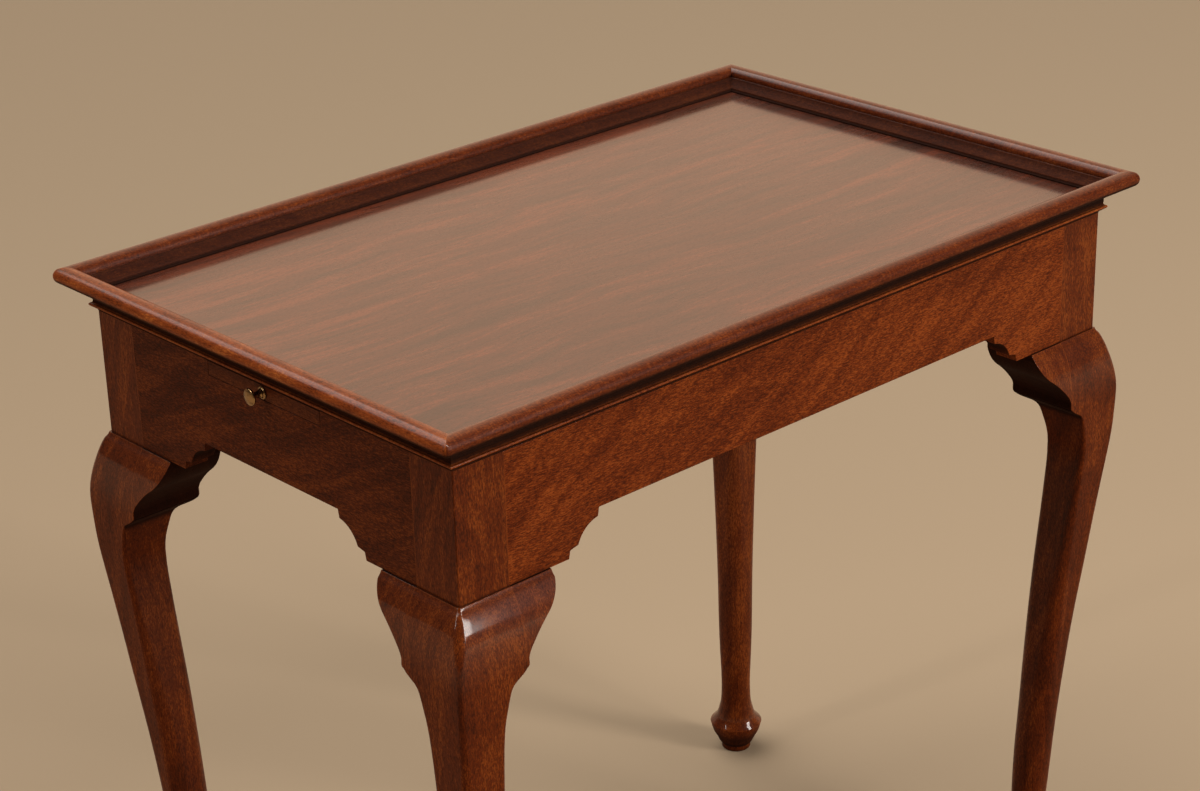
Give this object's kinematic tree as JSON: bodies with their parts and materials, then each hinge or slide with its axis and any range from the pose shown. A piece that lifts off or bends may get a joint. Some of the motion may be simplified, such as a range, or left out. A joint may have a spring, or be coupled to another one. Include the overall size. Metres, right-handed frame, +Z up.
{
  "type": "tray top tea table",
  "caption": "Rectangular tea table: sunk tray top with bullnose rim, shaped apron, cabriole legs on pad feet and a brass-knobbed candle slide at each end.",
  "frame": {"origin": "on the floor under the middle of the table", "axes": "+X along the table's length, +Y from the front to the back, +Z up"},
  "size_m": [0.724, 0.458, 0.6829],
  "materials": {
    "mahogany_panel": "polished, grain along the length",
    "mahogany_rim": "polished, grain along each moulding",
    "mahogany_rail": "satin polish, figured, grain along each rail",
    "mahogany_leg": "satin polish, upright grain",
    "mahogany_bracket": "satin polish, upright grain",
    "slide_mahogany": "satin polish",
    "secondary_wood": "planed and unpolished",
    "knob_brass": "polished, lightly aged",
    "steel_screw": "dull"
  },
  "bodies": {
    "table": {"tray_rim_front": "mahogany_rim", "lip_moulding_front": "mahogany_rim", "rail_front": "mahogany_rail", "tray_rim_right": "mahogany_rim", "lip_moulding_right": "mahogany_rim", "rail_right": "mahogany_rail", "tray_rim_back": "mahogany_rim", "lip_moulding_back": "mahogany_rim", "rail_back": "mahogany_rail", "tray_rim_left": "mahogany_rim", "lip_moulding_left": "mahogany_rim", "rail_left": "mahogany_rail", "top_panel": "mahogany_panel", "leg_front_left": "mahogany_leg", "knee_bracket_front_left_long": "mahogany_bracket", "knee_bracket_front_left_end": "mahogany_bracket", "corner_brace_front_left": "secondary_wood", "leg_front_right": "mahogany_leg", "knee_bracket_front_right_long": "mahogany_bracket", "knee_bracket_front_right_end": "mahogany_bracket", "corner_brace_front_right": "secondary_wood", "leg_back_right": "mahogany_leg", "knee_bracket_back_right_long": "mahogany_bracket", "knee_bracket_back_right_end": "mahogany_bracket", "corner_brace_back_right": "secondary_wood", "leg_back_left": "mahogany_leg", "knee_bracket_back_left_long": "mahogany_bracket", "knee_bracket_back_left_end": "mahogany_bracket", "corner_brace_back_left": "secondary_wood", "centre_brace": "secondary_wood", "slide_runner_left_front": "secondary_wood", "slide_runner_left_back": "secondary_wood", "slide_runner_right_front": "secondary_wood", "slide_runner_right_back": "secondary_wood", "top_screws": "steel_screw", "runner_screws": "steel_screw", "brace_screws": "steel_screw"},
    "left_slide": {"slide_board_left": "slide_mahogany", "slide_facing_left": "slide_mahogany", "slide_stop_left": "secondary_wood", "stop_screw_left": "steel_screw", "knob_left": "knob_brass", "knob_stud_left": "steel_screw"},
    "right_slide": {"slide_board_right": "slide_mahogany", "slide_facing_right": "slide_mahogany", "slide_stop_right": "secondary_wood", "stop_screw_right": "steel_screw", "knob_right": "knob_brass", "knob_stud_right": "steel_screw"}
  },
  "joints": [
    {"name": "left_slide_pull", "type": "slide", "parent": "table", "child": "left_slide", "axis": [-1, 0, 0], "range_m": [0, 0.25]},
    {"name": "right_slide_pull", "type": "slide", "parent": "table", "child": "right_slide", "axis": [1, 0, 0], "range_m": [0, 0.25]}
  ]
}
